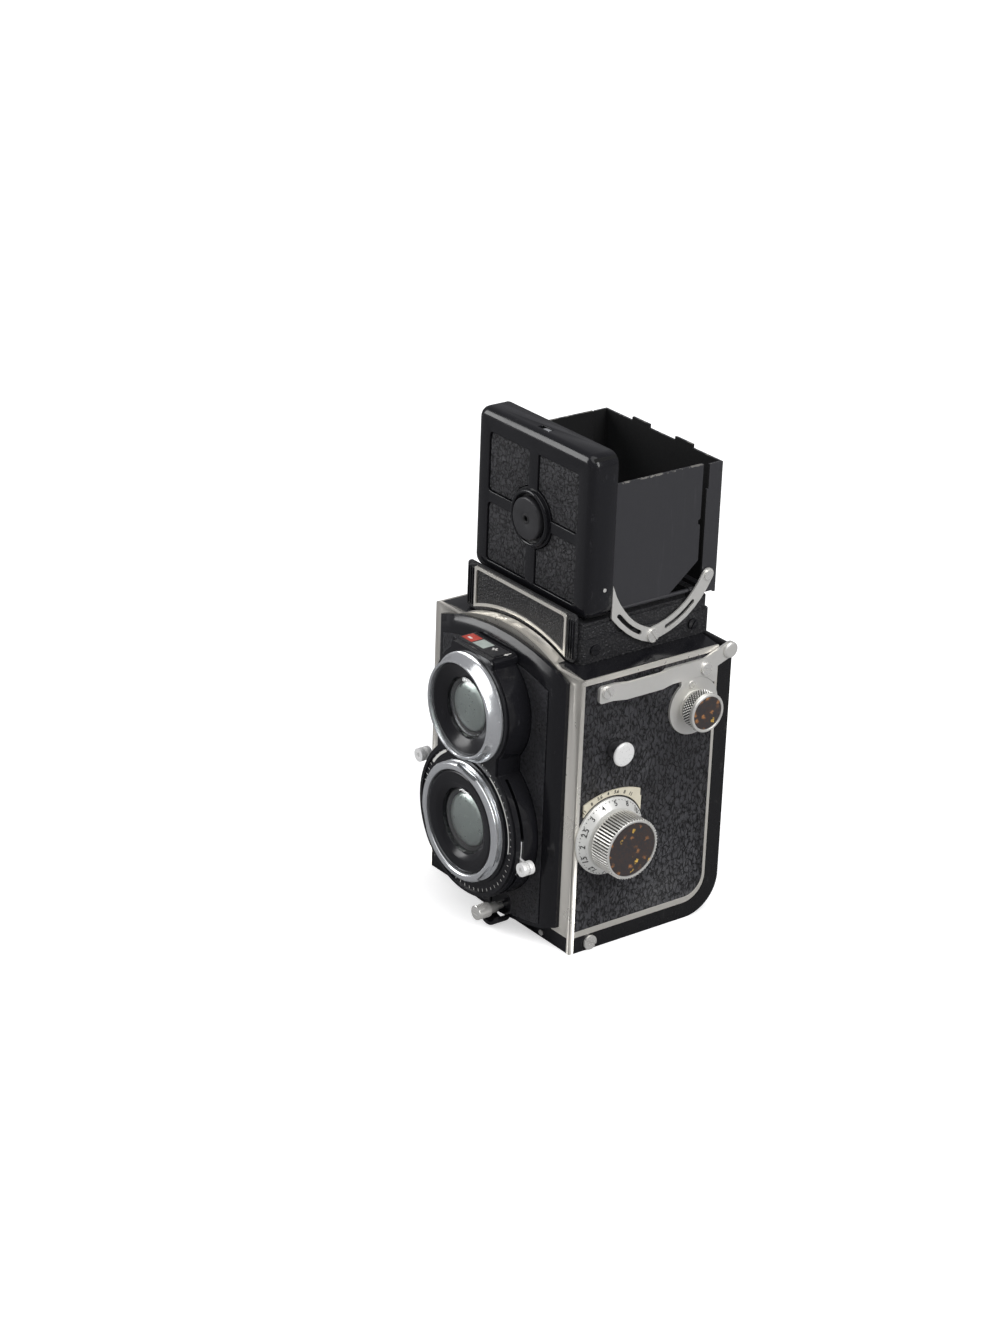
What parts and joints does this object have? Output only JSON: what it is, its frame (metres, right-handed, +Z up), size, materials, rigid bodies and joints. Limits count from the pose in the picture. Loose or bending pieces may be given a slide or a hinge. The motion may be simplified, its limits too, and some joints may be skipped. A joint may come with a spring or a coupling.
{
  "type": "twin lens reflex camera",
  "caption": "Small twin lens reflex camera in black leatherette and nickel trim, with its waist-level hood open, focusing knob, film knob, winding crank and hinged back.",
  "frame": {"origin": "mouth of the tripod socket, at the centre of the flat base", "axes": "+Z up through the hood, -Y the way the lenses face, +X the side with the focusing knob"},
  "size_m": [0.0966, 0.0744, 0.1518],
  "materials": {
    "black_enamel": "gloss",
    "crinkle_black": "matt",
    "matt_black": "matt",
    "nickel": "polished",
    "satin_nickel": "satin",
    "steel": "satin",
    "chrome": "polished",
    "leatherette": "satin",
    "cream_enamel": "satin",
    "mottled_insert": "gloss",
    "optical_glass": "gloss",
    "ground_glass": "matt",
    "mirror_glass": "gloss",
    "black_plastic": "gloss",
    "hood_sheet": "satin"
  },
  "bodies": {
    "body": {"body_casting": "black_enamel", "front_sill": "black_enamel", "front_rim": "nickel", "side_trims": "nickel", "side_leathers": "leatherette", "top_deck": "black_enamel", "hood_base": "crinkle_black", "nickel_screws": "nickel", "black_screws": "crinkle_black", "nameplate": "crinkle_black", "nameplate_border": "nickel", "ground_glass": "ground_glass", "finder_mirror": "mirror_glass", "film_gate": "matt_black", "focus_scale_plate": "cream_enamel", "side_flanges": "nickel", "strap_lugs": "nickel", "side_stud": "nickel", "tripod_socket": "steel", "hinge_pin": "nickel", "hood_lid": "black_enamel", "lid_leather": "leatherette", "hood_back": "black_enamel", "hood_links": "nickel", "link_rivets": "nickel"},
    "front": {"lens_board": "black_enamel", "board_leather": "leatherette", "shutter_housing": "black_enamel", "viewing_ring": "chrome", "name_rings": "matt_black", "viewing_lens": "optical_glass", "finder_window": "cream_enamel", "bayonet_ring": "chrome", "taking_lens": "optical_glass", "shutter_blades": "matt_black"},
    "aperture_lever": {"aperture_lever": "chrome"},
    "speed_lever": {"speed_lever": "chrome"},
    "release": {"release_knob": "satin_nickel"},
    "lid_button": {"lid_button": "black_enamel"},
    "magnifier": {"magnifier_frame": "matt_black", "magnifier_lens": "optical_glass"},
    "hood_side_right": {"hood_side_right": "hood_sheet"},
    "hood_side_left": {"hood_side_left": "hood_sheet"},
    "back": {"back_shell": "black_enamel", "back_leather": "leatherette", "pressure_plate": "steel", "latch_screws": "nickel"},
    "back_latch": {"back_latch": "black_enamel"},
    "focus": {"focus_knob": "satin_nickel", "focus_insert": "mottled_insert", "focus_dial": "satin_nickel"},
    "film_knob": {"film_knob": "satin_nickel", "film_knob_insert": "mottled_insert"},
    "crank": {"crank_arm": "satin_nickel"},
    "crank_handle": {"crank_handle": "black_plastic"},
    "counter": {"counter_dial": "satin_nickel"},
    "takeup_spool": {"takeup_spool": "matt_black"},
    "supply_spool": {"supply_spool": "matt_black"},
    "upper_roller": {"upper_roller": "steel"},
    "lower_roller": {"lower_roller": "steel"}
  },
  "joints": [
    {"name": "front_focus", "type": "slide", "parent": "body", "child": "front", "axis": [0, -1, 0], "range_m": [0, 0.005]},
    {"name": "focus_turn", "type": "hinge", "parent": "body", "child": "focus", "pos_m": [0.0354, -0.0157, 0.0364], "axis": [1, 0, 0], "range_deg": [0, 300]},
    {"name": "aperture_turn", "type": "hinge", "parent": "front", "child": "aperture_lever", "pos_m": [0, -0.0381, 0.0333], "axis": [0, -1, 0], "range_deg": [-28, 44]},
    {"name": "speed_turn", "type": "hinge", "parent": "front", "child": "speed_lever", "pos_m": [0, -0.0381, 0.0333], "axis": [0, -1, 0], "range_deg": [-11, 55]},
    {"name": "release_press", "type": "slide", "parent": "front", "child": "release", "axis": [0, 1, 0], "range_m": [0, 0.0015], "stiffness_N_per_m": 300, "springref_m": -0.001},
    {"name": "lid_button_press", "type": "slide", "parent": "body", "child": "lid_button", "axis": [0, 1, 0], "range_m": [0, 0.0011], "stiffness_N_per_m": 300, "springref_m": -0.001},
    {"name": "magnifier_flip", "type": "hinge", "parent": "body", "child": "magnifier", "pos_m": [0, -0.0141, 0.1438], "axis": [1, 0, 0], "range_deg": [0, 90]},
    {"name": "hood_side_right_fold", "type": "hinge", "parent": "body", "child": "hood_side_right", "pos_m": [0.0263, 0.0019, 0.1033], "axis": [0, -1, 0], "range_deg": [0, 90]},
    {"name": "hood_side_left_fold", "type": "hinge", "parent": "body", "child": "hood_side_left", "pos_m": [-0.0263, 0.0019, 0.1022], "axis": [0, 1, 0], "range_deg": [0, 90]},
    {"name": "back_open", "type": "hinge", "parent": "body", "child": "back", "pos_m": [0, 0.0263, 0.0861], "axis": [1, 0, 0], "range_deg": [0, 100]},
    {"name": "latch_swing", "type": "hinge", "parent": "back", "child": "back_latch", "pos_m": [0, -0.0206, 0.0024], "axis": [1, 0, 0], "range_deg": [0, 60]},
    {"name": "film_knob_pull", "type": "slide", "parent": "body", "child": "film_knob", "axis": [1, 0, 0], "range_m": [0, 0.005], "stiffness_N_per_m": 200, "springref_m": -0.002},
    {"name": "crank_turn", "type": "hinge", "parent": "body", "child": "crank", "pos_m": [-0.0354, 0.01374, 0.071], "axis": [1, 0, 0], "continuous": true},
    {"name": "crank_handle_spin", "type": "hinge", "parent": "crank", "child": "crank_handle", "pos_m": [-0.0434, 0.00753, 0.04782], "axis": [1, 0, 0], "continuous": true},
    {"name": "takeup_turn", "type": "hinge", "parent": "body", "child": "takeup_spool", "pos_m": [0, 0.01374, 0.071], "axis": [1, 0, 0], "continuous": true},
    {"name": "counter_turn", "type": "hinge", "parent": "body", "child": "counter", "pos_m": [-0.0354, -0.0041, 0.0541], "axis": [1, 0, 0], "continuous": true},
    {"name": "supply_turn", "type": "hinge", "parent": "body", "child": "supply_spool", "pos_m": [0, -0.0126, 0.0136], "axis": [1, 0, 0], "continuous": true},
    {"name": "upper_roller_turn", "type": "hinge", "parent": "body", "child": "upper_roller", "pos_m": [0, 0.0173, 0.0592], "axis": [1, 0, 0], "continuous": true},
    {"name": "lower_roller_turn", "type": "hinge", "parent": "body", "child": "lower_roller", "pos_m": [0, 0.0171, 0.0096], "axis": [1, 0, 0], "continuous": true}
  ],
  "couplings": [
    {"joint": "focus_turn", "follows": "front_focus", "rad_per_m": 1040},
    {"joint": "takeup_turn", "follows": "crank_turn", "ratio": 1},
    {"joint": "counter_turn", "follows": "crank_turn", "ratio": 0.083333}
  ]
}
